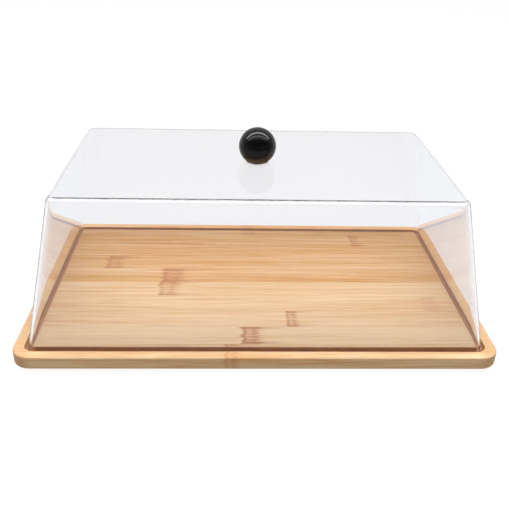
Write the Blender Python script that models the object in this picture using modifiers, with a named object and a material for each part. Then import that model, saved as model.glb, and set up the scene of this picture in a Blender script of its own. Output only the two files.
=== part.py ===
"""A rectangular cheese dome: a clear cover with a ball knob, standing in the groove of a bamboo board.

Frame: metres, +Z up, +X along the board's long side, origin on the table below the middle of the board.
Each sub-part is its own object. The cover lifts along +Z, and the knob unscrews about the Z axis through
the origin.
"""
import math

import bmesh
import bpy

# ---------------------------------------------------------------- driving dimensions, in metres
GAP = 0.0003                    # left between pieces that rest on or in each other

BOARD_LENGTH = 0.390            # along X
BOARD_DEPTH = 0.245             # along Y
BOARD_THICKNESS = 0.011
BOARD_CORNER_RADIUS = 0.0155    # seen from above
BOARD_EDGE_RADIUS = 0.0012

GROOVE_BORDER = 0.0087          # from the board's edge to the groove
GROOVE_WIDTH = 0.0067
GROOVE_DEPTH = 0.0040
GROOVE_CORNER_RADIUS = 0.0085   # of the groove's outer wall, seen from above

COVER_HEIGHT = 0.1194           # from the board's top to the cover's top
COVER_WALL = 0.0020
COVER_STEP_IN = 0.0027          # from the groove's outer wall to the cover's outer face, at the board's top
COVER_TOP_INSET = 0.0225        # how far each wall leans in over the cover's height
COVER_CORNER_RADIUS = 0.0080    # of the four upright edges
COVER_TOP_RADIUS = 0.0050       # between the walls and the top

KNOB_DIAMETER = 0.032
KNOB_HEIGHT = 0.0278            # from its flat foot to its top
KNOB_BORE_DEPTH = 0.0125
GASKET_DIAMETER = 0.020
GASKET_THICKNESS = 0.0006

THREAD_DIAMETER = 0.004         # M4
THREAD_CLEARANCE = 0.0001       # radial, between the screw and the insert, where the knob turns
THREAD_ENGAGED = 0.0080         # length of screw inside the insert
INSERT_DIAMETER = 0.0065
INSERT_LENGTH = 0.0100
SCREW_HOLE_DIAMETER = 0.0048    # through the cover and the two washers
SCREW_HEAD_DIAMETER = 0.009
SCREW_HEAD_HEIGHT = 0.0015
SCREW_HEAD_FLAT = 0.65          # share of the head's diameter that its flat face takes
SCREW_CHAMFER = 0.0005          # at the screw's tip and under its head's rim
SCREW_CROSS = (0.0009, 0.0044, 0.0010)  # width, length and depth of the cross in its head
INNER_WASHER_DIAMETER = 0.011
INNER_WASHER_THICKNESS = 0.0005

FOOT_HEIGHT = 0.0030            # from the table to the board's underside
FOOT_DIAMETER = 0.012
FOOT_TAPER = 0.0006             # how much smaller its radius is at the table
FOOT_INSET = 0.030              # from the board's edges to the middle of a foot
FOOT_CHAMFER = 0.0005
FOOT_POCKET_DIAMETER = 0.0066   # holds the screw's head
FOOT_POCKET_DEPTH = 0.0018
FOOT_SCREW_DIAMETER = 0.0029
FOOT_SCREW_LENGTH = 0.0080      # under its head
FOOT_SCREW_HEAD_DIAMETER = 0.0055
FOOT_SCREW_HEAD_HEIGHT = 0.0012
FOOT_SCREW_HEAD_BEVEL = (0.0006, 0.0005)  # across and up
FOOT_SCREW_CROSS = (0.0006, 0.0028, 0.0007)  # width, length and depth

ROUND_STEPS = 32                # sides of the knob and of what turns in it
SMALL_STEPS = 20                # sides of the feet, washers and small holes
BALL_ROWS = 15                  # of faces from the knob's top down to its foot
CORNER_SEGMENTS = 6             # of each rounded upright edge
BEVEL_STEP = 0.0012             # of radius for each segment of a rounded level edge
MERGE_DISTANCE = 0.000001
OVERCUT = 0.002                 # how far a cutter reaches past what it cuts

# ---------------------------------------------------------------- heights that follow from them
Z_BOARD_BOTTOM = FOOT_HEIGHT
Z_BOARD_TOP = Z_BOARD_BOTTOM + BOARD_THICKNESS
Z_GROOVE = Z_BOARD_TOP - GROOVE_DEPTH
Z_RIM = Z_GROOVE + GAP
Z_COVER_TOP = Z_BOARD_TOP + COVER_HEIGHT
Z_COVER_INSIDE = Z_COVER_TOP - COVER_WALL
Z_GASKET = Z_COVER_TOP + GAP
Z_KNOB = Z_GASKET + GASKET_THICKNESS + GAP
Z_INNER_WASHER = Z_COVER_INSIDE - GAP - INNER_WASHER_THICKNESS
Z_SCREW_HEAD = Z_INNER_WASHER - GAP

LEAN = COVER_TOP_INSET / COVER_HEIGHT                  # inward travel of a wall for each metre of height
WALL_ACROSS = COVER_WALL * math.sqrt(1.0 + LEAN ** 2)  # the wall's thickness measured level


# ---------------------------------------------------------------- helpers
def make_collection(name):
    """A new collection in the scene."""
    collection = bpy.data.collections.new(name)
    bpy.context.scene.collection.children.link(collection)
    return collection


def make_material(name, colour, roughness, metallic=0.0, transmission=0.0):
    """A Principled material with plain values."""
    material = bpy.data.materials.new(name)
    material.use_nodes = True
    material.diffuse_color = (*colour, 1.0)
    shader = material.node_tree.nodes["Principled BSDF"]
    shader.inputs["Base Color"].default_value = (*colour, 1.0)
    shader.inputs["Roughness"].default_value = roughness
    shader.inputs["Metallic"].default_value = metallic
    shader.inputs["Transmission Weight"].default_value = transmission
    return material


def make_object(name, mesh, collection, material=None, location=(0.0, 0.0, 0.0)):
    """A new object for a mesh."""
    piece = bpy.data.objects.new(name, mesh)
    piece.location = location
    collection.objects.link(piece)
    if material is not None and not mesh.materials:
        mesh.materials.append(material)
    return piece


def mesh_from(name, shape, sharp_angle=35.0):
    """Turn a bmesh into a mesh that is shaded smooth, with its edges kept sharp."""
    bmesh.ops.recalc_face_normals(shape, faces=shape.faces)
    mesh = bpy.data.meshes.new(name)
    shape.to_mesh(mesh)
    shape.free()
    mesh.shade_smooth()
    mesh.set_sharp_from_angle(angle=math.radians(sharp_angle))
    return mesh


def is_upright(edge):
    """True for an edge of a box that joins its bottom to its top."""
    low, high = sorted(vertex.co.z for vertex in edge.verts)
    return high - low > MERGE_DISTANCE


def round_edges(shape, edges, radius, segments):
    """Round some edges of a bmesh."""
    bmesh.ops.bevel(
        shape, geom=edges, offset=radius, segments=segments, profile=0.5, affect="EDGES", clamp_overlap=True
    )


def tapered_box(bottom_size, top_size, z_bottom, z_top, corner_radius, top_radius=0.0, bottom_radius=0.0):
    """A box whose top may be smaller than its bottom, with its upright and level edges rounded."""
    shape = bmesh.new()
    bmesh.ops.create_cube(shape, size=1.0)
    for vertex in shape.verts:
        at_top = vertex.co.z > 0.0
        size = top_size if at_top else bottom_size
        vertex.co.x *= size[0]
        vertex.co.y *= size[1]
        vertex.co.z = z_top if at_top else z_bottom
    round_edges(shape, [edge for edge in shape.edges if is_upright(edge)], corner_radius, CORNER_SEGMENTS)
    for z, radius in ((z_top, top_radius), (z_bottom, bottom_radius)):
        if radius > 0.0:
            level = [e for e in shape.edges if all(abs(v.co.z - z) < MERGE_DISTANCE for v in e.verts)]
            segments = max(2, round(radius / BEVEL_STEP))
            round_edges(shape, level, radius, segments)
    return shape


def turned_object(name, profile, collection, material, steps, location=(0.0, 0.0, 0.0)):
    """A turned piece: a profile of (radius, height) points, down its outer side, spun by a Screw modifier."""
    mesh = bpy.data.meshes.new(name)
    points = [(radius, 0.0, height) for radius, height in profile]
    on_axis = profile[0][0] == 0.0 and profile[-1][0] == 0.0
    edges = [(i, i + 1) for i in range(len(points) - 1)]
    if not on_axis:
        edges.append((len(points) - 1, 0))
    mesh.from_pydata(points, edges, [])
    piece = make_object(name, mesh, collection, material, location)
    spin = piece.modifiers.new("turn", "SCREW")
    spin.axis = "Z"
    spin.steps = steps
    spin.render_steps = steps
    spin.use_merge_vertices = True
    spin.merge_threshold = MERGE_DISTANCE
    spin.use_smooth_shade = True
    return piece


def cylinder_cutter(name, radius, z_bottom, z_top, cutters, steps, x=0.0, y=0.0):
    """An upright cylinder to cut with."""
    shape = bmesh.new()
    bmesh.ops.create_cone(
        shape, cap_ends=True, segments=steps, radius1=radius, radius2=radius, depth=z_top - z_bottom
    )
    cutter = make_object(name, mesh_from(name, shape), cutters, location=(x, y, (z_bottom + z_top) / 2.0))
    return hide_cutter(cutter)


def box_cutter(name, size, centre, cutters):
    """A plain box to cut with."""
    shape = bmesh.new()
    bmesh.ops.create_cube(shape, size=1.0)
    for vertex in shape.verts:
        vertex.co.x *= size[0]
        vertex.co.y *= size[1]
        vertex.co.z *= size[2]
    return hide_cutter(make_object(name, mesh_from(name, shape), cutters, location=centre))


def hide_cutter(cutter):
    """Mark an object as a cutter, which isn't part of the model."""
    cutter.hide_render = True
    cutter.display_type = "WIRE"
    return cutter


def cut(piece, cutter):
    """Take one object's shape away from another."""
    boolean = piece.modifiers.new("cut " + cutter.name, "BOOLEAN")
    boolean.operation = "DIFFERENCE"
    boolean.solver = "EXACT"
    boolean.object = cutter


def cross_recess(piece, cross, z_mouth, centre, cutters):
    """Cut a cross for a screwdriver up into the underside of a screw's head."""
    width, length, depth = cross
    z_middle = z_mouth + (depth - OVERCUT) / 2.0
    for label, size in (("x", (length, width)), ("y", (width, length))):
        cutter = box_cutter(
            f"{piece.name}_recess_{label}",
            (size[0], size[1], depth + OVERCUT),
            (centre[0], centre[1], z_middle),
            cutters,
        )
        cut(piece, cutter)


# ---------------------------------------------------------------- board and feet
def foot_places():
    """The middles of the four feet, seen from above."""
    x = BOARD_LENGTH / 2.0 - FOOT_INSET
    y = BOARD_DEPTH / 2.0 - FOOT_INSET
    return [(-x, -y), (x, -y), (x, y), (-x, y)]


def make_board(collection, cutters, material):
    """The board: a slab with a groove all round and four pilot holes below for the foot screws."""
    size = (BOARD_LENGTH, BOARD_DEPTH)
    slab = tapered_box(
        size, size, Z_BOARD_BOTTOM, Z_BOARD_TOP, BOARD_CORNER_RADIUS, BOARD_EDGE_RADIUS, BOARD_EDGE_RADIUS
    )
    board = make_object("board", mesh_from("board", slab), collection, material)

    outer = (BOARD_LENGTH - 2 * GROOVE_BORDER, BOARD_DEPTH - 2 * GROOVE_BORDER)
    inner = (outer[0] - 2 * GROOVE_WIDTH, outer[1] - 2 * GROOVE_WIDTH)
    above = Z_BOARD_TOP + OVERCUT
    ring = tapered_box(outer, outer, Z_GROOVE, above, GROOVE_CORNER_RADIUS)
    core = tapered_box(
        inner, inner, Z_GROOVE - OVERCUT, above + OVERCUT, GROOVE_CORNER_RADIUS - GROOVE_WIDTH
    )
    groove_core = hide_cutter(make_object("groove_core", mesh_from("groove_core", core), cutters))
    groove = hide_cutter(make_object("groove", mesh_from("groove", ring), cutters))
    cut(groove, groove_core)
    cut(board, groove)

    hole_top = foot_screw_bearing() + FOOT_SCREW_LENGTH + GAP
    for number, (x, y) in enumerate(foot_places(), start=1):
        radius = FOOT_SCREW_DIAMETER / 2.0 + GAP
        hole = cylinder_cutter(
            f"pilot_hole_{number}", radius, Z_BOARD_BOTTOM - OVERCUT, hole_top, cutters, SMALL_STEPS, x, y
        )
        cut(board, hole)
    return board


def foot_screw_bearing():
    """The height of the underside of a foot screw's head, which faces up against the rubber."""
    return FOOT_POCKET_DEPTH - GAP


def make_feet(collection, cutters, rubber, steel):
    """Four rubber feet, each held by a pan-head screw that sits inside it."""
    foot_top = FOOT_HEIGHT - GAP
    hole = FOOT_SCREW_DIAMETER / 2.0 + GAP
    pocket = FOOT_POCKET_DIAMETER / 2.0
    radius = FOOT_DIAMETER / 2.0
    foot_profile = [
        (radius, foot_top),
        (radius - FOOT_TAPER, FOOT_CHAMFER),
        (radius - FOOT_TAPER - FOOT_CHAMFER, 0.0),
        (pocket, 0.0),
        (pocket, FOOT_POCKET_DEPTH),
        (hole, FOOT_POCKET_DEPTH),
        (hole, foot_top),
    ]

    bearing = foot_screw_bearing()
    head = FOOT_SCREW_HEAD_DIAMETER / 2.0
    shank = FOOT_SCREW_DIAMETER / 2.0
    face = bearing - FOOT_SCREW_HEAD_HEIGHT
    tip = bearing + FOOT_SCREW_LENGTH
    bevel_across, bevel_up = FOOT_SCREW_HEAD_BEVEL
    screw_profile = [
        (0.0, tip),
        (shank, tip - 2.0 * shank),
        (shank, bearing),
        (head, bearing),
        (head, face + bevel_up),
        (head - bevel_across, face),
        (0.0, face),
    ]
    for number, (x, y) in enumerate(foot_places(), start=1):
        turned_object(f"foot_{number}", foot_profile, collection, rubber, SMALL_STEPS, (x, y, 0.0))
        screw = turned_object(
            f"foot_screw_{number}", screw_profile, collection, steel, SMALL_STEPS, (x, y, 0.0)
        )
        cross_recess(screw, FOOT_SCREW_CROSS, face, (x, y), cutters)


# ---------------------------------------------------------------- cover
def cover_size(z, face_inset=0.0):
    """The cover's outline at a height, taken in from its outer face by a level distance."""
    at_board = GROOVE_BORDER + COVER_STEP_IN
    inset = at_board + (z - Z_BOARD_TOP) * LEAN + face_inset
    return (BOARD_LENGTH - 2.0 * inset, BOARD_DEPTH - 2.0 * inset)


def make_cover(collection, cutters, material):
    """The cover: an outer tapered box less an inner one, with a hole in its top for the knob's screw."""
    outer = tapered_box(
        cover_size(Z_RIM), cover_size(Z_COVER_TOP), Z_RIM, Z_COVER_TOP, COVER_CORNER_RADIUS, COVER_TOP_RADIUS
    )
    cover = make_object("cover", mesh_from("cover", outer), collection, material)

    z_low = Z_RIM - OVERCUT
    inner = tapered_box(
        cover_size(z_low, WALL_ACROSS),
        cover_size(Z_COVER_INSIDE, WALL_ACROSS),
        z_low,
        Z_COVER_INSIDE,
        COVER_CORNER_RADIUS - COVER_WALL,
        COVER_TOP_RADIUS - COVER_WALL,
    )
    inside = hide_cutter(make_object("cover_inside", mesh_from("cover_inside", inner), cutters))
    cut(cover, inside)
    screw_hole = cylinder_cutter(
        "cover_screw_hole",
        SCREW_HOLE_DIAMETER / 2.0,
        Z_COVER_INSIDE - OVERCUT,
        Z_COVER_TOP + OVERCUT,
        cutters,
        SMALL_STEPS,
    )
    cut(cover, screw_hole)
    return cover


# ---------------------------------------------------------------- knob and its fixings
def ring_profile(inner, outer, z_bottom, z_top):
    """A washer's section."""
    return [(outer, z_top), (outer, z_bottom), (inner, z_bottom), (inner, z_top)]


def make_knob(collection, material):
    """A ball with a flat foot and a blind bore for its threaded insert."""
    radius = KNOB_DIAMETER / 2.0
    centre = Z_KNOB + KNOB_HEIGHT - radius
    last_angle = math.acos((Z_KNOB - centre) / radius)
    ball = []
    for step in range(BALL_ROWS + 1):
        angle = last_angle * step / BALL_ROWS
        ball.append((radius * math.sin(angle), centre + radius * math.cos(angle)))
    ball[0] = (0.0, centre + radius)
    bore = INSERT_DIAMETER / 2.0 + GAP
    bore_end = Z_KNOB + KNOB_BORE_DEPTH
    profile = ball + [(bore, Z_KNOB), (bore, bore_end), (0.0, bore_end)]
    return turned_object("knob", profile, collection, material, ROUND_STEPS)


def make_knob_fixings(collection, cutters, brass, steel, rubber, clear_rubber):
    """The insert in the knob, the washers on both sides of the cover, and the screw from inside."""
    hole = SCREW_HOLE_DIAMETER / 2.0
    thread = THREAD_DIAMETER / 2.0

    insert_bottom = Z_KNOB + GAP
    turned_object(
        "knob_insert",
        ring_profile(
            thread + THREAD_CLEARANCE, INSERT_DIAMETER / 2.0, insert_bottom, insert_bottom + INSERT_LENGTH
        ),
        collection,
        brass,
        ROUND_STEPS,
    )
    turned_object(
        "knob_gasket",
        ring_profile(hole, GASKET_DIAMETER / 2.0, Z_GASKET, Z_GASKET + GASKET_THICKNESS),
        collection,
        rubber,
        ROUND_STEPS,
    )
    turned_object(
        "inner_washer",
        ring_profile(
            hole, INNER_WASHER_DIAMETER / 2.0, Z_INNER_WASHER, Z_INNER_WASHER + INNER_WASHER_THICKNESS
        ),
        collection,
        clear_rubber,
        ROUND_STEPS,
    )

    head = SCREW_HEAD_DIAMETER / 2.0
    face = Z_SCREW_HEAD - SCREW_HEAD_HEIGHT
    tip = insert_bottom + THREAD_ENGAGED
    screw_profile = [
        (0.0, tip),
        (thread - SCREW_CHAMFER, tip),
        (thread, tip - SCREW_CHAMFER),
        (thread, Z_SCREW_HEAD),
        (head, Z_SCREW_HEAD),
        (head, Z_SCREW_HEAD - SCREW_CHAMFER),
        (SCREW_HEAD_FLAT * head, face),
        (0.0, face),
    ]
    screw = turned_object("knob_screw", screw_profile, collection, steel, ROUND_STEPS)
    cross_recess(screw, SCREW_CROSS, face, (0.0, 0.0), cutters)


# ---------------------------------------------------------------- the whole object
def build():
    """Clear the scene and build the cheese dome."""
    for old in list(bpy.data.objects):
        bpy.data.objects.remove(old, do_unlink=True)
    parts = make_collection("cheese_dome")
    cutters = make_collection("cutters")

    bamboo = make_material("bamboo", (0.78, 0.53, 0.31), 0.45)
    acrylic = make_material("clear_acrylic", (0.93, 0.95, 0.96), 0.03, transmission=1.0)
    black = make_material("black_plastic", (0.008, 0.008, 0.009), 0.12)
    rubber = make_material("black_rubber", (0.015, 0.015, 0.015), 0.6)
    clear_rubber = make_material("clear_rubber", (0.85, 0.87, 0.88), 0.3, transmission=0.8)
    steel = make_material("stainless_steel", (0.62, 0.62, 0.62), 0.25, metallic=1.0)
    brass = make_material("brass", (0.80, 0.56, 0.25), 0.3, metallic=1.0)

    make_board(parts, cutters, bamboo)
    make_feet(parts, cutters, rubber, steel)
    make_cover(parts, cutters, acrylic)
    make_knob(parts, black)
    make_knob_fixings(parts, cutters, brass, steel, rubber, clear_rubber)


build()
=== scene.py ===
"""The look of the cheese dome: fine meshes, node materials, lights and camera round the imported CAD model.

Everything is in metres in the CAD model's frame: +Z up, +X along the board, origin on the table below the
middle of the board.
"""
import math

import bmesh
import bpy
from mathutils import Matrix, Vector


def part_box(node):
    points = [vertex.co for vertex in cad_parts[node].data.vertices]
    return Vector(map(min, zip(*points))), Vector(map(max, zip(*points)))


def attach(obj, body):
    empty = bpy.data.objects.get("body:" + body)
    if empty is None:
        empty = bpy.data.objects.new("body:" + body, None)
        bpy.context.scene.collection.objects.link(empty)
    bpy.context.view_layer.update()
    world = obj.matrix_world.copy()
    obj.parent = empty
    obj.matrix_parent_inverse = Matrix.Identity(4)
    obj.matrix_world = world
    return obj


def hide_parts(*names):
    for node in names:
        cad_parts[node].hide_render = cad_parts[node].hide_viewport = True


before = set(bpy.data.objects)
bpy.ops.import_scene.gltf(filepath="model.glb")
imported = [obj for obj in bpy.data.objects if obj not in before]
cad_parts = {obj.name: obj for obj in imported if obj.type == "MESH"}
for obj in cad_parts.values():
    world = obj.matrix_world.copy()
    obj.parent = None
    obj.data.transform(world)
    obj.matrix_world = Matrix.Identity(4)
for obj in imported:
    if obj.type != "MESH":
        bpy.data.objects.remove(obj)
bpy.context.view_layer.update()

# ---------------------------------------------------------------- sizes that the CAD boxes don't give
BOARD_CORNER_RADIUS = 0.0155
BOARD_EDGE_RADIUS = 0.0012
GROOVE_BORDER = 0.0087
GROOVE_WIDTH = 0.0067
GROOVE_DEPTH = 0.0040
GROOVE_CORNER_RADIUS = 0.0085
GROOVE_LIP_RADIUS = 0.0003
GROOVE_FOOT_RADIUS = 0.0006

COVER_WALL = 0.0020
COVER_LEAN = 0.0225 / 0.1194        # inward travel of a wall for each metre of height
COVER_CORNER_RADIUS = 0.0080
COVER_TOP_RADIUS = 0.0050
COVER_RIM_RADIUS = 0.0004
SCREW_HOLE_RADIUS = 0.0024

THREAD_PITCH = 0.0007
THREAD_DEPTH = 0.00035

STRIP_WIDTH = 0.0249                # of one bamboo strip
FIRST_JOINT = -0.1032               # Y of the glue line nearest the front

# How warm each strip is, from the front to the back: 0 is pale straw, 1 is orange brown.
STRIP_WARMTH = (0.25, 0.00, 0.26, 0.24, 0.30, 0.58, 0.58, 0.64, 0.64, 0.60)

# The bamboo's knuckles: X of the left side, strip number from the front, length along X, strength.
KNUCKLES = (
    (-0.143, 6, 0.017, 0.80),
    (-0.087, 5, 0.022, 1.00),
    (-0.088, 4, 0.018, 0.80),
    (-0.013, 1, 0.016, 1.25),
    (0.026, 2, 0.010, 0.85),
    (0.104, 8, 0.010, 0.80),
    (0.151, 3, 0.014, 0.30),
    (-0.027, 0, 0.012, 0.50),
    (-0.010, 9, 0.016, 0.40),
)

# Darker streaks along the grain: X of the middle, Y, half length, half width, strength.
STREAKS = (
    (-0.090, 0.0745, 0.062, 0.0026, 0.85),
    (-0.105, 0.0930, 0.060, 0.0022, 0.70),
    (0.045, 0.0740, 0.090, 0.0014, 0.60),
    (-0.135, 0.0470, 0.025, 0.0012, 0.50),
    (0.020, 0.0290, 0.080, 0.0016, 0.45),
    (0.125, -0.0015, 0.055, 0.0014, 0.30),
    (0.030, -0.1035, 0.012, 0.0007, 0.60),
)

CAMERA_PLACE = (-0.0250, -0.5533, 0.3351)
CAMERA_YAW = math.radians(-2.596)
CAMERA_PITCH = math.radians(27.95)
CAMERA_ROLL = math.radians(1.639)
CAMERA_LENS = 47.77                 # millimetres, on a sensor 36 mm wide


# ---------------------------------------------------------------- meshes
def soften(corners, arc_steps=4, hold=0.0003):
    """An open outline with its corners rounded: corners are (a, b, radius), and the ends stay as they are.

    A point is added on each side of an arc, a little way off, to keep the flats beside it flat in shading.
    """
    points = [corners[0][:2]]
    for before, corner, after in zip(corners, corners[1:], corners[2:]):
        radius = corner[2]
        if radius == 0.0:
            points.append(corner[:2])
            continue
        here = vector2(corner)
        back = (vector2(before) - here).normalized()
        ahead = (vector2(after) - here).normalized()
        half_angle = math.acos(max(-1.0, min(1.0, back.dot(ahead)))) / 2.0
        reach = radius / math.tan(half_angle)
        start = here + back * reach
        end = here + ahead * reach
        centre = here + (back + ahead).normalized() * (radius / math.sin(half_angle))
        points.append(tuple(start + back * hold))
        from_start = start - centre
        from_end = end - centre
        sweep = math.pi - 2.0 * half_angle
        for step in range(arc_steps + 1):
            share = step / arc_steps
            weight_end = math.sin(share * sweep) / math.sin(sweep)
            weight_start = math.sin((1.0 - share) * sweep) / math.sin(sweep)
            points.append(tuple(centre + from_start * weight_start + from_end * weight_end))
        points.append(tuple(end + ahead * hold))
    points.append(corners[-1][:2])
    return points


def vector2(point):
    """The first two numbers of a point, as a vector."""
    return Vector(point[:2])


def rounded_rectangle(half_x, half_y, radius, z, corner_steps=10, side_steps=4, hold=0.0005):
    """Points round a rounded rectangle, anticlockwise from above."""
    radius = max(radius, 0.0004)
    points = []
    for quarter, (side_x, side_y) in enumerate(((1, 1), (-1, 1), (-1, -1), (1, -1))):
        centre_x = side_x * (half_x - radius)
        centre_y = side_y * (half_y - radius)
        first = quarter * math.pi / 2.0
        last = first + math.pi / 2.0
        for angle, along in ((first, -hold),):
            points.append(arc_point(centre_x, centre_y, radius, angle, along, z))
        for step in range(corner_steps + 1):
            angle = first + (last - first) * step / corner_steps
            points.append(arc_point(centre_x, centre_y, radius, angle, 0.0, z))
        points.append(arc_point(centre_x, centre_y, radius, last, hold, z))
        run = 2.0 * ((half_x if quarter % 2 == 0 else half_y) - radius)
        for step in range(1, side_steps + 1):
            along = hold + (run - 2.0 * hold) * step / (side_steps + 1)
            points.append(arc_point(centre_x, centre_y, radius, last, along, z))
    return points


def arc_point(centre_x, centre_y, radius, angle, along, z):
    """A point on an arc, moved along the arc's tangent there."""
    x = centre_x + radius * math.cos(angle) - along * math.sin(angle)
    y = centre_y + radius * math.sin(angle) + along * math.cos(angle)
    return (x, y, z)


def circle(radius, z, count, first_angle=0.0):
    """Points round a circle, anticlockwise from above."""
    points = []
    for step in range(count):
        angle = first_angle + 2.0 * math.pi * step / count
        points.append((radius * math.cos(angle), radius * math.sin(angle), z))
    return points


def loft(name, rings, closed=False):
    """A piece whose skin joins rings of points. Unless it closes on itself, its two ends are capped."""
    shape = bmesh.new()
    rows = [[shape.verts.new(point) for point in ring] for ring in rings]
    pairs = list(zip(rows, rows[1:]))
    if closed:
        pairs.append((rows[-1], rows[0]))
    for low, high in pairs:
        for i in range(len(low)):
            j = (i + 1) % len(low)
            shape.faces.new((low[i], low[j], high[j], high[i]))
    if not closed:
        shape.faces.new(rows[0])
        shape.faces.new(rows[-1])
    return piece_from(name, shape)


def turn(name, profile, steps=64, middle=(0.0, 0.0), ripple=None):
    """A turned piece from a (radius, height) profile, closed on itself unless both ends are on the axis.

    ripple is a function of radius, height and angle that gives the radius a thread or knurl has there.
    """
    shape = bmesh.new()
    rows = []
    for radius, height in profile:
        if radius < 1e-7:
            rows.append([shape.verts.new((middle[0], middle[1], height))])
            continue
        row = []
        for step in range(steps):
            angle = 2.0 * math.pi * step / steps
            here = ripple(radius, height, angle) if ripple else radius
            x = middle[0] + here * math.cos(angle)
            y = middle[1] + here * math.sin(angle)
            row.append(shape.verts.new((x, y, height)))
        rows.append(row)
    pairs = list(zip(rows, rows[1:]))
    if len(rows[0]) > 1 and len(rows[-1]) > 1:
        pairs.append((rows[-1], rows[0]))
    for one, other in pairs:
        for i in range(steps):
            j = (i + 1) % steps
            if len(one) == 1:
                shape.faces.new((one[0], other[i], other[j]))
            elif len(other) == 1:
                shape.faces.new((one[i], other[0], one[j]))
            else:
                shape.faces.new((one[i], one[j], other[j], other[i]))
    return piece_from(name, shape)


def piece_from(name, shape, sharp_angle=38.0):
    """An object from a bmesh, shaded smooth with its sharp edges kept."""
    bmesh.ops.recalc_face_normals(shape, faces=shape.faces)
    mesh = bpy.data.meshes.new(name)
    shape.to_mesh(mesh)
    shape.free()
    mesh.shade_smooth()
    mesh.set_sharp_from_angle(angle=math.radians(sharp_angle))
    piece = bpy.data.objects.new(name, mesh)
    bpy.context.scene.collection.objects.link(piece)
    return piece


def finish_piece(piece, material, slot, body, *nodes):
    """Give a piece its material, make it ride on a body, and hide the CAD nodes it stands for. The slot is not used."""
    piece.data.materials.clear()
    piece.data.materials.append(material)
    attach(piece, body)
    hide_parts(*nodes)
    return piece


def cut_cross(piece, z_face, depth, length, width, middle=(0.0, 0.0)):
    """Cut a screwdriver's cross, narrower at its bottom, up into a screw's lower face."""
    for label, half_x, half_y in (("x", length, width), ("y", width, length)):
        narrow = 0.62
        sizes = ((1.15, z_face - depth * 0.3), (narrow, z_face + depth))
        rings = []
        for share, z in sizes:
            x = half_x * share / 2.0
            y = half_y * share / 2.0
            corners = ((x, y), (-x, y), (-x, -y), (x, -y))
            rings.append([(middle[0] + a, middle[1] + b, z) for a, b in corners])
        cutter = loft(f"cross_{label}", rings)
        boolean = piece.modifiers.new("cross", "BOOLEAN")
        boolean.operation = "DIFFERENCE"
        boolean.solver = "EXACT"
        boolean.object = cutter
        bpy.context.view_layer.update()
        graph = bpy.context.evaluated_depsgraph_get()
        mesh = bpy.data.meshes.new_from_object(piece.evaluated_get(graph))
        piece.modifiers.clear()
        old = piece.data
        piece.data = mesh
        bpy.data.meshes.remove(old)
        bpy.data.objects.remove(cutter, do_unlink=True)
    piece.data.set_sharp_from_angle(angle=math.radians(38.0))


# ---------------------------------------------------------------- material helpers
def display(red, green, blue):
    """A colour as a screen shows it, 0 to 255, in the linear values that a shader takes."""
    linear = []
    for level in (red, green, blue):
        share = level / 255.0
        linear.append(share / 12.92 if share <= 0.04045 else ((share + 0.055) / 1.055) ** 2.4)
    return (*linear, 1.0)


class Nodes:
    """A material's nodes, with short ways to add and join them."""

    def __init__(self, name):
        self.material = bpy.data.materials.new(name)
        self.material.use_nodes = True
        self.tree = self.material.node_tree
        self.shader = self.tree.nodes["Principled BSDF"]

    def add(self, kind, **settings):
        """A new node with its settings."""
        node = self.tree.nodes.new(kind)
        for setting, value in settings.items():
            setattr(node, setting, value)
        return node

    def put(self, socket, value):
        """Give a socket a plain value, or join it to another node's output."""
        if isinstance(value, bpy.types.NodeSocket):
            self.tree.links.new(value, socket)
        else:
            socket.default_value = value

    def set(self, socket_name, value):
        """Set or join one of the shader's own sockets."""
        self.put(self.shader.inputs[socket_name], value)

    def math(self, operation, *values, clamp=False):
        """A Math node."""
        node = self.add("ShaderNodeMath", operation=operation, use_clamp=clamp)
        for socket, value in zip(node.inputs, values):
            self.put(socket, value)
        return node.outputs[0]

    def total(self, values):
        """The sum of several values."""
        result = values[0]
        for value in values[1:]:
            result = self.math("ADD", result, value)
        return result

    def remap(self, value, low, high, to_low=0.0, to_high=1.0):
        """A smooth step from one range to another."""
        node = self.add("ShaderNodeMapRange", interpolation_type="SMOOTHSTEP")
        for socket, number in zip(node.inputs, (value, low, high, to_low, to_high)):
            self.put(socket, number)
        return node.outputs[0]

    def hill(self, value, middle, half_width):
        """1 where a value is at the middle, falling smoothly to 0 at half a width away."""
        away = self.math("ABSOLUTE", self.math("SUBTRACT", value, middle))
        return self.remap(away, half_width, 0.0)

    def mix(self, factor, first, second, blend="MIX"):
        """A mix of two colours."""
        node = self.add("ShaderNodeMix", data_type="RGBA", blend_type=blend)
        self.put(node.inputs[0], factor)
        self.put(node.inputs[6], first)
        self.put(node.inputs[7], second)
        return node.outputs[2]

    def place(self):
        """The point's place in the object, and its three parts."""
        coordinates = self.add("ShaderNodeTexCoord")
        parts = self.add("ShaderNodeSeparateXYZ")
        self.put(parts.inputs[0], coordinates.outputs["Object"])
        return coordinates, parts.outputs

    def vector(self, x, y, z):
        """A vector from three values."""
        node = self.add("ShaderNodeCombineXYZ")
        for socket, value in zip(node.inputs, (x, y, z)):
            self.put(socket, value)
        return node.outputs[0]

    def noise(self, place, stretch, detail=3.0, roughness=0.55, distortion=0.0):
        """Noise whose grains are 1 / stretch long on each axis."""
        scaled = self.add("ShaderNodeVectorMath", operation="MULTIPLY")
        self.put(scaled.inputs[0], place)
        scaled.inputs[1].default_value = stretch
        node = self.add("ShaderNodeTexNoise")
        self.put(node.inputs["Vector"], scaled.outputs[0])
        node.inputs["Scale"].default_value = 1.0
        node.inputs["Detail"].default_value = detail
        node.inputs["Roughness"].default_value = roughness
        node.inputs["Distortion"].default_value = distortion
        return node.outputs["Fac"]

    def bump(self, height, distance, strength=1.0):
        """Raise the surface by a height from 0 to 1 times a distance in metres."""
        node = self.add("ShaderNodeBump")
        node.inputs["Strength"].default_value = strength
        node.inputs["Distance"].default_value = distance
        self.put(node.inputs["Height"], height)
        self.set("Normal", node.outputs["Normal"])


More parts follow.
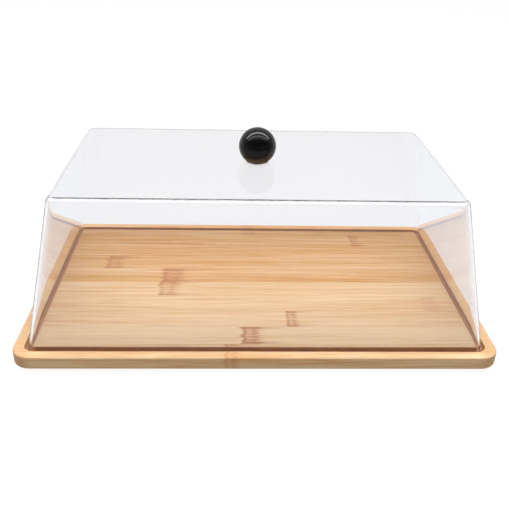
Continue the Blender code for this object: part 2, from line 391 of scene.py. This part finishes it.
# ---------------------------------------------------------------- bamboo
def knuckle_mask(nodes, x, strip, share_across, wobble, hatch):
    """How much of a knuckle's brown a point has.

    A knuckle has two soft bands across its strip, lines along it between them, and dark edges with tails.
    """
    place = 0.0
    strength = 0.0
    for left, number, length, amount in KNUCKLES:
        along = nodes.math("MULTIPLY_ADD", x, 1.0 / length, -left / length)
        near = nodes.math("COMPARE", along, 1.3, 2.0)
        here = nodes.math("MULTIPLY", near, nodes.math("COMPARE", strip, float(number), 0.25))
        place = nodes.math("MULTIPLY_ADD", here, along, place)
        strength = nodes.math("MULTIPLY_ADD", here, amount, strength)
    place = nodes.math("MULTIPLY_ADD", wobble, 0.65, place)
    first_band = nodes.hill(place, 0.13, 0.20)
    second_band = nodes.hill(place, 0.68, 0.24)
    inside = nodes.math("MULTIPLY", nodes.remap(place, 0.0, 0.15), nodes.remap(place, 1.25, 0.75))
    tail = nodes.math("MULTIPLY", nodes.remap(place, -0.1, 0.10), nodes.remap(place, 3.0, 0.5))
    from_middle = nodes.math("ABSOLUTE", nodes.math("SUBTRACT", share_across, 0.5))
    edge = nodes.math("MULTIPLY", nodes.remap(from_middle, 0.28, 0.44), nodes.remap(from_middle, 0.5, 0.47))
    lines = nodes.math("FRACT", nodes.math("MULTIPLY_ADD", wobble, 1.2, nodes.math("MULTIPLY", share_across, 6.0)))
    lines = nodes.math("MULTIPLY", nodes.hill(lines, 0.5, 0.42), nodes.remap(hatch, 0.0, 1.0, 0.35, 1.0))
    amount = nodes.total([
        nodes.math("MULTIPLY", first_band, nodes.math("MULTIPLY_ADD", hatch, 0.30, 0.24)),
        nodes.math("MULTIPLY", second_band, nodes.math("MULTIPLY_ADD", hatch, 0.30, 0.08)),
        nodes.math("MULTIPLY", inside, nodes.math("MULTIPLY_ADD", lines, 0.40, 0.22)),
        nodes.math("MULTIPLY", tail, nodes.math("MULTIPLY", edge, 0.40)),
    ])
    return nodes.math("MULTIPLY", amount, strength)


def streak_mask(nodes, x, y, grain):
    """How much of a dark streak's orange a point has, for all the streaks together."""
    amounts = []
    for middle_x, middle_y, half_length, half_width, strength in STREAKS:
        away_x = nodes.math("ABSOLUTE", nodes.math("SUBTRACT", x, middle_x))
        away_y = nodes.math("ABSOLUTE", nodes.math("SUBTRACT", y, middle_y))
        along = nodes.remap(away_x, half_length, half_length * 0.45)
        across = nodes.remap(away_y, half_width, 0.0)
        amounts.append(nodes.math("MULTIPLY", nodes.math("MULTIPLY", along, across), strength))
    return nodes.math("MULTIPLY", nodes.total(amounts), nodes.remap(grain, 0.25, 0.65, 0.4, 1.0))


def make_bamboo():
    """Laminated bamboo: strips along X with their own tones, fibres, knuckles, glue lines and end grain, with painted
    shade in the groove and towards the two ends.
    """
    nodes = Nodes("bamboo")
    coordinates, (x, y, z) = nodes.place()
    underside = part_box("board")[0][2] + BOARD_EDGE_RADIUS
    upper = nodes.math("GREATER_THAN", z, underside)
    side = nodes.math("MULTIPLY_ADD", upper, 2.0, -1.0)
    own_y = nodes.math("MULTIPLY", y, side)

    across = nodes.math("DIVIDE", nodes.math("SUBTRACT", own_y, FIRST_JOINT - STRIP_WIDTH), STRIP_WIDTH)
    strip = nodes.math("FLOOR", across)
    share_across = nodes.math("FRACT", across)
    random = nodes.add("ShaderNodeTexWhiteNoise", noise_dimensions="1D")
    nodes.put(random.inputs["W"], nodes.math("MULTIPLY_ADD", side, 31.0, strip))
    own_x = nodes.math("MULTIPLY_ADD", random.outputs["Value"], 3.0, x)
    fibre_place = nodes.vector(own_x, y, z)

    broad = nodes.noise(fibre_place, (3.0, 95.0, 95.0), 2.0, 0.5, 0.3)
    middle = nodes.noise(fibre_place, (10.0, 620.0, 400.0), 3.0, 0.6)
    fine = nodes.noise(fibre_place, (26.0, 1700.0, 1300.0), 3.0, 0.65)
    dashes = nodes.noise(fibre_place, (55.0, 2600.0, 2000.0), 1.0, 0.5)

    warmth = nodes.add("ShaderNodeValToRGB")
    ramp = warmth.color_ramp
    ramp.interpolation = "CONSTANT"
    for number, amount in enumerate(STRIP_WARMTH):
        place = number / len(STRIP_WARMTH)
        stop = ramp.elements[0] if number == 0 else ramp.elements.new(place)
        stop.position = place
        stop.color = (amount, amount, amount, 1.0)
    ramp.elements.remove(ramp.elements[-1])
    nodes.put(warmth.inputs[0], nodes.math("DIVIDE", across, float(len(STRIP_WARMTH))))

    tone = nodes.total([
        warmth.outputs["Color"],
        nodes.remap(broad, 0.25, 0.75, -0.15, 0.15),
        nodes.remap(middle, 0.25, 0.75, -0.28, 0.28),
        nodes.remap(fine, 0.3, 0.7, -0.22, 0.22),
    ])
    colour = nodes.mix(tone, display(255, 219, 173), display(222, 146, 52))

    # Painted shade: the board is darkened towards a duller brown near both ends, standing in for less light there.
    ends_painted_shade = nodes.remap(nodes.math("ABSOLUTE", x), 0.174, 0.188, 0.0, 0.55)
    colour = nodes.mix(ends_painted_shade, colour, display(208, 156, 106))

    dark_dash = nodes.math("MULTIPLY", nodes.remap(dashes, 0.60, 0.78), 0.30)
    colour = nodes.mix(dark_dash, colour, display(205, 150, 98))

    joint_away = nodes.math("ABSOLUTE", nodes.math("SUBTRACT", nodes.math("FRACT", nodes.math("ADD", across, 0.5)), 0.5))
    joint_noise = nodes.noise(fibre_place, (7.0, 30.0, 30.0), 2.0, 0.5)
    joint = nodes.math("MULTIPLY", nodes.remap(joint_away, 0.022, 0.004), nodes.remap(joint_noise, 0.35, 0.7, 0.12, 0.55))
    colour = nodes.mix(joint, colour, display(196, 137, 82))

    turned_x = nodes.math("MULTIPLY", x, side)
    wobble = nodes.math("SUBTRACT", nodes.noise(fibre_place, (40.0, 420.0, 420.0), 2.0, 0.5), 0.5)
    hatch = nodes.remap(nodes.noise(fibre_place, (110.0, 1050.0, 1050.0), 2.0, 0.6, 0.6), 0.42, 0.60)
    knuckles = knuckle_mask(nodes, turned_x, strip, share_across, wobble, hatch)
    colour = nodes.mix(nodes.math("MINIMUM", knuckles, 0.85), colour, display(196, 112, 50))
    streaks = nodes.math("MULTIPLY", streak_mask(nodes, x, y, middle), upper)
    colour = nodes.mix(streaks, colour, display(208, 126, 40))

    # Painted shade: the groove's walls and floor turn a darker brown, standing in for the shade inside the recess.
    inset_x = nodes.math("SUBTRACT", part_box("board")[1][0], nodes.math("ABSOLUTE", x))
    inset_y = nodes.math("SUBTRACT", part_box("board")[1][1], nodes.math("ABSOLUTE", y))
    inset = nodes.math("MINIMUM", inset_x, inset_y)
    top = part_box("board")[1][2]
    groove_painted_shade = nodes.math("MULTIPLY", nodes.remap(z, top - 0.0001, top - 0.0005), nodes.remap(inset, 0.004, 0.006))
    groove_painted_shade = nodes.math("MULTIPLY", groove_painted_shade, upper)
    colour = nodes.mix(nodes.math("MULTIPLY", groove_painted_shade, 0.85), colour, display(196, 128, 84))

    normal = nodes.add("ShaderNodeSeparateXYZ")
    nodes.put(normal.inputs[0], coordinates.outputs["Normal"])
    end_grain = nodes.remap(nodes.math("ABSOLUTE", normal.outputs[0]), 0.75, 0.95)
    cells = nodes.add("ShaderNodeTexVoronoi", feature="F1", voronoi_dimensions="3D")
    nodes.put(cells.inputs["Vector"], nodes.vector(nodes.math("MULTIPLY", x, 30.0), y, z))
    cells.inputs["Scale"].default_value = 1150.0
    bundles = nodes.remap(cells.outputs["Distance"], 0.42, 0.22)
    ends = nodes.mix(nodes.math("MULTIPLY", bundles, 0.55), display(226, 184, 134), display(150, 98, 58))
    colour = nodes.mix(nodes.math("MULTIPLY", end_grain, 0.85), colour, ends)
    nodes.set("Base Color", colour)

    nodes.set("Roughness", nodes.remap(middle, 0.2, 0.8, 0.42, 0.58))
    nodes.shader.inputs["Specular IOR Level"].default_value = 0.38
    relief = nodes.total([
        nodes.math("MULTIPLY", fine, 0.6),
        nodes.math("MULTIPLY", dashes, 0.3),
        nodes.math("MULTIPLY", joint, -0.8),
    ])
    nodes.bump(relief, 0.00006, 0.7)
    return nodes.material


# ---------------------------------------------------------------- the other materials
def make_acrylic():
    """Clear polished acrylic with a faint cool tint and the slightest moulding ripple."""
    nodes = Nodes("clear_acrylic")
    nodes.shader.inputs["Base Color"].default_value = (0.953, 0.966, 0.990, 1.0)
    nodes.shader.inputs["Transmission Weight"].default_value = 0.985
    nodes.shader.inputs["IOR"].default_value = 1.49
    coordinates, parts = nodes.place()
    smears = nodes.noise(coordinates.outputs["Object"], (18.0, 18.0, 18.0), 3.0, 0.6)
    nodes.set("Roughness", nodes.remap(smears, 0.35, 0.75, 0.0, 0.012))
    return nodes.material


def make_black_plastic():
    """Glossy black phenolic with faint swirls from polishing."""
    nodes = Nodes("black_plastic")
    coordinates, parts = nodes.place()
    place = coordinates.outputs["Object"]
    swirls = nodes.noise(place, (260.0, 260.0, 900.0), 4.0, 0.6, 0.4)
    tint = nodes.mix(nodes.remap(swirls, 0.3, 0.7), (0.0030, 0.0030, 0.0032, 1.0), (0.0055, 0.0055, 0.0058, 1.0))
    nodes.set("Base Color", tint)
    nodes.set("Roughness", nodes.remap(swirls, 0.3, 0.7, 0.09, 0.15))
    nodes.shader.inputs["Specular IOR Level"].default_value = 0.27
    nodes.bump(nodes.noise(place, (90.0, 90.0, 90.0), 2.0, 0.5), 0.00002, 0.35)
    return nodes.material


def make_rubber(name, dark, light, roughness, transmission=0.0):
    """Matt rubber, speckled and very finely rough."""
    nodes = Nodes(name)
    coordinates, parts = nodes.place()
    place = coordinates.outputs["Object"]
    speckle = nodes.noise(place, (1500.0, 1500.0, 1500.0), 3.0, 0.6)
    nodes.set("Base Color", nodes.mix(nodes.remap(speckle, 0.3, 0.7), dark, light))
    nodes.set("Roughness", nodes.remap(speckle, 0.3, 0.7, roughness - 0.07, roughness + 0.07))
    nodes.shader.inputs["Transmission Weight"].default_value = transmission
    nodes.shader.inputs["IOR"].default_value = 1.41
    nodes.bump(speckle, 0.00004, 0.5)
    return nodes.material


def make_metal(name, dark, light, roughness):
    """Machined metal: fine rings from turning round the Z axis."""
    nodes = Nodes(name)
    coordinates, (x, y, z) = nodes.place()
    from_axis = nodes.math("SQRT", nodes.math("ADD", nodes.math("MULTIPLY", x, x), nodes.math("MULTIPLY", y, y)))
    rings = nodes.noise(nodes.vector(from_axis, z, 0.0), (9000.0, 5000.0, 1.0), 2.0, 0.6)
    nodes.set("Base Color", nodes.mix(nodes.remap(rings, 0.3, 0.7), dark, light))
    nodes.set("Roughness", nodes.remap(rings, 0.3, 0.7, roughness - 0.06, roughness + 0.06))
    nodes.shader.inputs["Metallic"].default_value = 1.0
    nodes.bump(rings, 0.00001, 0.4)
    return nodes.material


# ---------------------------------------------------------------- board and feet
def make_board(material):
    """The board: one section swept round its outline, with a softened groove for the cover."""
    low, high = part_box("board")
    half_x = high[0]
    half_y = high[1]
    groove_end = GROOVE_BORDER + GROOVE_WIDTH
    groove_floor = high[2] - GROOVE_DEPTH
    section = soften([
        (0.0060, low[2], 0.0),
        (0.0, low[2], BOARD_EDGE_RADIUS),
        (0.0, high[2], BOARD_EDGE_RADIUS),
        (GROOVE_BORDER, high[2], GROOVE_LIP_RADIUS),
        (GROOVE_BORDER, groove_floor, GROOVE_FOOT_RADIUS),
        (groove_end, groove_floor, GROOVE_FOOT_RADIUS),
        (groove_end, high[2], GROOVE_LIP_RADIUS),
        (groove_end + 0.0020, high[2], 0.0),
    ])
    rings = []
    for inset, z in section:
        if inset < GROOVE_BORDER / 2.0:
            radius = BOARD_CORNER_RADIUS - inset
        else:
            radius = GROOVE_CORNER_RADIUS + GROOVE_BORDER - inset
        rings.append(rounded_rectangle(half_x - inset, half_y - inset, radius, z))
    board = loft("bamboo_board", rings)
    return finish_piece(board, material, "bamboo", "base", "board")


def make_feet(rubber, steel):
    """The four rubber feet and their screws, each in its CAD node's place."""
    for number in range(1, 5):
        low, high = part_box(f"foot_{number}")
        middle = ((low[0] + high[0]) / 2.0, (low[1] + high[1]) / 2.0)
        radius = (high[0] - low[0]) / 2.0
        screw_low, screw_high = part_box(f"foot_screw_{number}")
        head = (screw_high[0] - screw_low[0]) / 2.0
        pocket = head + 0.0005
        bearing = screw_low[2] + 0.0012
        shank = 0.00145
        hole = shank + 0.0003
        section = soften([
            (hole, high[2] - 0.0001, 0.0),
            (radius, high[2] - 0.0001, 0.0003),
            (radius - 0.0006, low[2], 0.0007),
            (pocket, low[2], 0.0003),
            (pocket, bearing + 0.0003, 0.0001),
            (hole, bearing + 0.0003, 0.0),
        ], hold=0.0001)
        foot = turn(f"rubber_foot_{number}", section, 56, middle)
        finish_piece(foot, rubber, "black_rubber", "base", f"foot_{number}")

        tip = screw_high[2]
        section = soften([
            (0.0, screw_low[2], 0.0),
            (head, screw_low[2], 0.0006),
            (head, bearing, 0.0001),
            (shank, bearing, 0.0),
            (shank, tip - 2.0 * shank, 0.0),
            (0.0, tip, 0.0),
        ], hold=0.0001)
        screw = turn(f"board_screw_{number}", section, 40, middle)
        cut_cross(screw, screw_low[2], 0.0007, 0.0030, 0.0007, middle)
        finish_piece(screw, steel, "stainless_steel", "base", f"foot_screw_{number}")


# ---------------------------------------------------------------- cover
def make_cover(material):
    """The cover: outer skin, hole for the knob's screw, inner skin and rim, all one closed surface."""
    low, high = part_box("cover")
    half_x = high[0]
    half_y = high[1]
    z_rim = low[2]
    z_top = high[2]
    wall_level = COVER_WALL * math.sqrt(1.0 + COVER_LEAN ** 2)
    rise = z_top - z_rim
    inside_rise = rise - COVER_WALL
    outer_top = rise * COVER_LEAN
    inner_top = inside_rise * COVER_LEAN + wall_level
    rim_middle = wall_level / 2.0

    outer = soften([
        (rim_middle, z_rim, 0.0),
        (0.0, z_rim, COVER_RIM_RADIUS),
        (outer_top, z_top, COVER_TOP_RADIUS),
        (outer_top + 0.020, z_top, 0.0),
    ], arc_steps=14)
    inner = soften([
        (inner_top + 0.020, z_top - COVER_WALL, 0.0),
        (inner_top, z_top - COVER_WALL, COVER_TOP_RADIUS - COVER_WALL),
        (wall_level, z_rim, COVER_RIM_RADIUS),
        (rim_middle, z_rim, 0.0),
    ], arc_steps=14)

    rings = []
    for section, wall_start, corner_radius in (
        (outer, 0.0, COVER_CORNER_RADIUS),
        (inner[:-1], wall_level, COVER_CORNER_RADIUS - COVER_WALL),
    ):
        for inset, z in section:
            past_wall = inset - wall_start - (z - z_rim) * COVER_LEAN
            rings.append(rounded_rectangle(half_x - inset, half_y - inset, corner_radius - past_wall, z))
        if section is outer:
            rings += hole_rings(z_top, len(rings[0]))
    cover = loft("acrylic_cover", rings, closed=True)
    return finish_piece(cover, material, "clear_acrylic", "cover_body", "cover")


def hole_rings(z_top, count):
    """The rings down the screw hole, from the cover's top to its inside, with small chamfers."""
    chamfer = 0.0002
    z_inside = z_top - COVER_WALL
    rings = []
    for radius, z in (
        (SCREW_HOLE_RADIUS + 0.002, z_top),
        (SCREW_HOLE_RADIUS + chamfer, z_top),
        (SCREW_HOLE_RADIUS, z_top - chamfer),
        (SCREW_HOLE_RADIUS, z_inside + chamfer),
        (SCREW_HOLE_RADIUS + chamfer, z_inside),
        (SCREW_HOLE_RADIUS + 0.002, z_inside),
    ):
        rings.append(circle(radius, z, count))
    return rings


# ---------------------------------------------------------------- knob and its fixings
def make_knob(material):
    """The ball knob, with its flat foot and the bore for its insert."""
    low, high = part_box("knob")
    radius = (high[0] - low[0]) / 2.0
    centre = high[2] - radius
    z_foot = low[2]
    steps = 56
    last_angle = math.acos((z_foot + 0.0003 - centre) / radius)
    profile = [(0.0, centre + radius)]
    for step in range(1, steps + 1):
        angle = last_angle * step / steps
        profile.append((radius * math.sin(angle), centre + radius * math.cos(angle)))
    foot_radius = math.sqrt(radius ** 2 - (z_foot - centre) ** 2)
    profile += [(foot_radius - 0.0001, z_foot + 0.0001), (foot_radius - 0.0004, z_foot), (foot_radius - 0.0010, z_foot)]
    bore = 0.00355
    profile += [(bore + 0.0004, z_foot), (bore, z_foot + 0.0004), (bore, z_foot + 0.0125), (0.0, z_foot + 0.0125)]
    knob = turn("ball_knob", profile, 128)
    knob.visible_glossy = False
    return finish_piece(knob, material, "black_plastic", "knob_body", "knob")


def thread_radius(radius, height, angle, inward=False):
    """A thread's radius: a right-handed ridge of the M4 pitch, cut into a rod or into a hole."""
    turns = height / THREAD_PITCH - angle / (2.0 * math.pi)
    ridge = abs((turns % 1.0) * 2.0 - 1.0)
    cut = THREAD_DEPTH * min(1.0, 1.2 * ridge)
    return radius + cut if inward else radius - cut


def rows_between(radius, start, end, rows):
    """Points along a straight side at one radius."""
    return [(radius, start + (end - start) * row / rows) for row in range(rows + 1)]


def make_insert(material):
    """The knurled brass insert in the knob, threaded inside."""
    low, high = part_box("knob_insert")
    outside = (high[0] - low[0]) / 2.0
    inside = 0.0021
    chamfer = 0.0004
    profile = [(inside + chamfer, low[2]), (outside - 0.0003, low[2])]
    profile += rows_between(outside, low[2] + 0.0004, high[2] - 0.0004, 6)
    profile += [(outside - 0.0003, high[2]), (inside + chamfer, high[2])]
    profile += rows_between(inside, high[2] - chamfer, low[2] + chamfer, 100)

    def ripple(radius, height, angle):
        if radius > outside - 0.0001:
            return radius - 0.00018 * (0.5 + 0.5 * math.cos(24.0 * angle))
        if radius < inside + 0.0001:
            return thread_radius(radius, height, angle, inward=True)
        return radius

    insert = turn("brass_insert", profile, 96, ripple=ripple)
    insert.visible_glossy = False
    return finish_piece(insert, material, "brass", "knob_body", "knob_insert")


def make_knob_screw(material):
    """The knob's screw: a low wide head with a cross inside the cover, and a threaded shank."""
    low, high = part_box("knob_screw")
    head = (high[0] - low[0]) / 2.0
    face = low[2]
    bearing = face + 0.0015
    shank = 0.0020
    tip = high[2]
    section = soften([
        (0.0, face, 0.0),
        (0.60 * head, face, 0.0008),
        (head, bearing - 0.0005, 0.0002),
        (head, bearing, 0.0001),
        (shank, bearing, 0.0),
    ], hold=0.0001)[:-1]
    profile = section + [(shank, bearing), (shank, bearing + 0.0006)]
    profile += rows_between(shank - 0.00001, bearing + 0.0007, tip - 0.0004, 140)
    profile += [(shank - 0.0005, tip), (0.0, tip)]
    threaded_low = bearing + 0.0007
    threaded_high = tip - 0.0004

    def ripple(radius, height, angle):
        if threaded_low <= height <= threaded_high and radius < shank:
            return thread_radius(radius, height, angle)
        return radius

    screw = turn("cover_screw", profile, 48, ripple=ripple)
    cut_cross(screw, face, 0.0009, 0.0046, 0.0010)
    screw.visible_glossy = False
    return finish_piece(screw, material, "stainless_steel", "cover_body", "knob_screw")


def make_washer(name, node, slot, body, material, proud):
    """A soft washer with rounded edges, which fills the gaps that the CAD leaves above and below it."""
    low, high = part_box(node)
    outside = (high[0] - low[0]) / 2.0
    z_low = low[2] - proud
    z_high = high[2] + proud
    edge = (z_high - z_low) * 0.3
    middle = (SCREW_HOLE_RADIUS + outside) / 2.0
    section = soften([
        (middle, z_low, 0.0),
        (outside, z_low, edge),
        (outside, z_high, edge),
        (SCREW_HOLE_RADIUS, z_high, 0.0001),
        (SCREW_HOLE_RADIUS, z_low, 0.0001),
        (middle, z_low, 0.0),
    ], hold=0.0001)[:-1]
    washer = turn(name, section, 72)
    return finish_piece(washer, material, slot, body, node)


# ---------------------------------------------------------------- studio
def make_floor():
    """A white floor that glows evenly, so that it stays white, and takes a very faint shadow."""
    shape = bmesh.new()
    bmesh.ops.create_circle(shape, cap_ends=True, segments=96, radius=9.0)
    floor = piece_from("studio_floor", shape)
    floor.location.z = -0.0002
    nodes = Nodes("white_floor")
    nodes.shader.inputs["Base Color"].default_value = (0.12, 0.12, 0.12, 1.0)
    nodes.shader.inputs["Specular IOR Level"].default_value = 0.0
    nodes.shader.inputs["Roughness"].default_value = 1.0
    nodes.shader.inputs["Emission Color"].default_value = (1.0, 1.0, 1.0, 1.0)
    nodes.shader.inputs["Emission Strength"].default_value = 0.91
    floor.data.materials.append(nodes.material)
    floor.visible_glossy = False
    floor.visible_diffuse = False


def make_bounce():
    """A dimmer sheet just below the floor, which lights the object's sides in the floor's stead."""
    shape = bmesh.new()
    bmesh.ops.create_circle(shape, cap_ends=True, segments=96, radius=9.0)
    bounce = piece_from("studio_bounce", shape)
    bounce.location.z = -0.0010
    nodes = Nodes("soft_bounce")
    nodes.shader.inputs["Base Color"].default_value = (0.0, 0.0, 0.0, 1.0)
    nodes.shader.inputs["Specular IOR Level"].default_value = 0.0
    nodes.shader.inputs["Emission Color"].default_value = (1.0, 0.96, 0.92, 1.0)
    nodes.shader.inputs["Emission Strength"].default_value = 0.46
    bounce.data.materials.append(nodes.material)
    bounce.visible_camera = False
    bounce.visible_glossy = False
    bounce.visible_transmission = False
    bounce.visible_shadow = False


def make_backdrop():
    """A white dome round the studio, which only the camera sees."""
    shape = bmesh.new()
    bmesh.ops.create_uvsphere(shape, u_segments=64, v_segments=32, radius=8.9)
    backdrop = piece_from("studio_backdrop", shape)
    nodes = Nodes("white_backdrop")
    nodes.shader.inputs["Base Color"].default_value = (0.0, 0.0, 0.0, 1.0)
    nodes.shader.inputs["Specular IOR Level"].default_value = 0.0
    nodes.shader.inputs["Emission Color"].default_value = (1.0, 1.0, 1.0, 1.0)
    nodes.shader.inputs["Emission Strength"].default_value = 1.0
    backdrop.data.materials.append(nodes.material)
    backdrop.visible_glossy = False
    backdrop.visible_diffuse = False
    backdrop.visible_transmission = False
    backdrop.visible_shadow = False


def make_world():
    """Soft light: bright behind and to the sides, dim in front but for a low band round the horizon."""
    world = bpy.data.worlds.new("studio")
    bpy.context.scene.world = world
    world.use_nodes = True
    tree = world.node_tree
    background = tree.nodes["Background"]

    def add(kind, **settings):
        node = tree.nodes.new(kind)
        for setting, value in settings.items():
            setattr(node, setting, value)
        return node

    def step(value, low, high, to_low, to_high):
        node = add("ShaderNodeMapRange", interpolation_type="SMOOTHSTEP")
        tree.links.new(value, node.inputs[0])
        for socket, number in zip(list(node.inputs)[1:], (low, high, to_low, to_high)):
            socket.default_value = number
        return node.outputs[0]

    def math_node(operation, first, second):
        node = add("ShaderNodeMath", operation=operation)
        for socket, value in zip(node.inputs, (first, second)):
            if isinstance(value, float):
                socket.default_value = value
            else:
                tree.links.new(value, socket)
        return node.outputs[0]

    coordinates = add("ShaderNodeTexCoord")
    direction = add("ShaderNodeSeparateXYZ")
    tree.links.new(coordinates.outputs["Generated"], direction.inputs[0])
    upper = step(direction.outputs[1], -0.60, 0.70, 0.06, 0.75)
    lower = step(direction.outputs[1], -0.30, 0.45, 0.10, 1.00)
    below = step(direction.outputs[2], -0.10, -0.28, 0.0, 1.0)
    behind = step(direction.outputs[1], 0.10, 0.60, 0.0, 1.0)
    low = step(direction.outputs[2], 0.16, 0.0, 0.0, 1.0)
    low_behind = math_node("MULTIPLY", behind, low)
    share = math_node("MAXIMUM", below, low_behind)
    difference = math_node("SUBTRACT", lower, upper)
    strength = math_node("ADD", upper, math_node("MULTIPLY", share, difference))
    band_foot = step(direction.outputs[2], 0.02, 0.06, 0.0, 0.38)
    band_top = step(direction.outputs[2], 0.24, 0.14, 0.0, 1.0)
    strength = math_node("MAXIMUM", strength, math_node("MULTIPLY", band_foot, band_top))
    tree.links.new(strength, background.inputs["Strength"])
    background.inputs["Color"].default_value = (1.0, 1.0, 1.0, 1.0)


def add_softbox(name, size, place, tilt, radiance, seen_by, colour=(1.0, 1.0, 1.0)):
    """A rectangular area light, tilted about X from pointing straight down, for some kinds of ray only."""
    light = bpy.data.lights.new(name, "AREA")
    light.shape = "RECTANGLE"
    light.size = size[0]
    light.size_y = size[1]
    light.energy = radiance * 4.0 * size[0] * size[1]
    light.color = colour
    softbox = bpy.data.objects.new(name, light)
    softbox.location = place
    softbox.rotation_euler = (tilt, 0.0, 0.0)
    softbox.visible_camera = False
    softbox.visible_diffuse = "diffuse" in seen_by
    softbox.visible_glossy = "glossy" in seen_by
    softbox.visible_transmission = "transmission" in seen_by
    bpy.context.scene.collection.objects.link(softbox)


def make_lights():
    """A wide panel over everything, more light for what's under the cover, and strips for reflections."""
    panel_size = (3.2, 2.4)
    panel_place = (0.0, -0.15, 1.90)
    add_softbox("soft_panel", panel_size, panel_place, 0.0, 1.98, ("diffuse", "transmission"))
    fill_place = (0.0, -0.15, 1.95)
    add_softbox("cover_fill", panel_size, fill_place, 0.0, 0.42, ("transmission",), (1.0, 0.90, 0.66))
    add_softbox("strip_behind", (4.8, 0.30), (0.0, 0.37, 1.65), math.radians(-13.6), 8.0, ("glossy",))
    add_softbox("strip_front", (4.4, 0.22), (0.0, -0.25, 1.65), math.radians(9.4), 3.5, ("glossy",))
    add_softbox("strip_fading", (4.0, 0.45), (0.0, -0.55, 1.60), math.radians(20.0), 0.9, ("glossy",))


def make_camera():
    """The camera, at the photograph's viewing angle."""
    lens = bpy.data.cameras.new("camera")
    lens.sensor_width = 36.0
    lens.lens = CAMERA_LENS
    lens.clip_start = 0.01
    camera = bpy.data.objects.new("camera", lens)
    turn_left = Matrix.Rotation(CAMERA_YAW, 4, "Z")
    look_down = Matrix.Rotation(math.pi / 2.0 - CAMERA_PITCH, 4, "X")
    roll = Matrix.Rotation(CAMERA_ROLL, 4, "Z")
    camera.matrix_world = Matrix.Translation(CAMERA_PLACE) @ turn_left @ look_down @ roll
    bpy.context.scene.collection.objects.link(camera)
    bpy.context.scene.camera = camera


def set_view():
    """Plain colours, and enough bounces to see through the cover's two walls."""
    scene = bpy.context.scene
    scene.view_settings.view_transform = "Standard"
    scene.view_settings.look = "None"
    scene.cycles.max_bounces = 96
    scene.cycles.transmission_bounces = 96
    scene.cycles.glossy_bounces = 96
    scene.cycles.diffuse_bounces = 5
    scene.cycles.caustics_refractive = True
    scene.cycles.caustics_reflective = True


# ---------------------------------------------------------------- the whole scene
def build():
    """Make every piece, the studio and the camera."""
    make_camera()
    set_view()
    make_world()
    make_floor()
    make_bounce()
    make_backdrop()
    make_lights()

    bamboo = make_bamboo()
    acrylic = make_acrylic()
    plastic = make_black_plastic()
    rubber = make_rubber("black_rubber", (0.010, 0.010, 0.010, 1.0), (0.022, 0.022, 0.022, 1.0), 0.62)
    clear_rubber = make_rubber("clear_rubber", (0.80, 0.83, 0.84, 1.0), (0.90, 0.92, 0.93, 1.0), 0.30, 0.8)
    steel = make_metal("stainless_steel", (0.50, 0.50, 0.50, 1.0), (0.68, 0.68, 0.67, 1.0), 0.26)
    brass = make_metal("brass", (0.62, 0.42, 0.17, 1.0), (0.78, 0.56, 0.26, 1.0), 0.28)

    make_board(bamboo)
    make_feet(rubber, steel)
    make_cover(acrylic)
    make_knob(plastic)
    make_insert(brass)
    make_knob_screw(steel)
    make_washer("rubber_gasket", "knob_gasket", "black_rubber", "gasket_body", rubber, 0.00028)
    make_washer("clear_washer", "inner_washer", "clear_rubber", "cover_body", clear_rubber, 0.00028)


build()
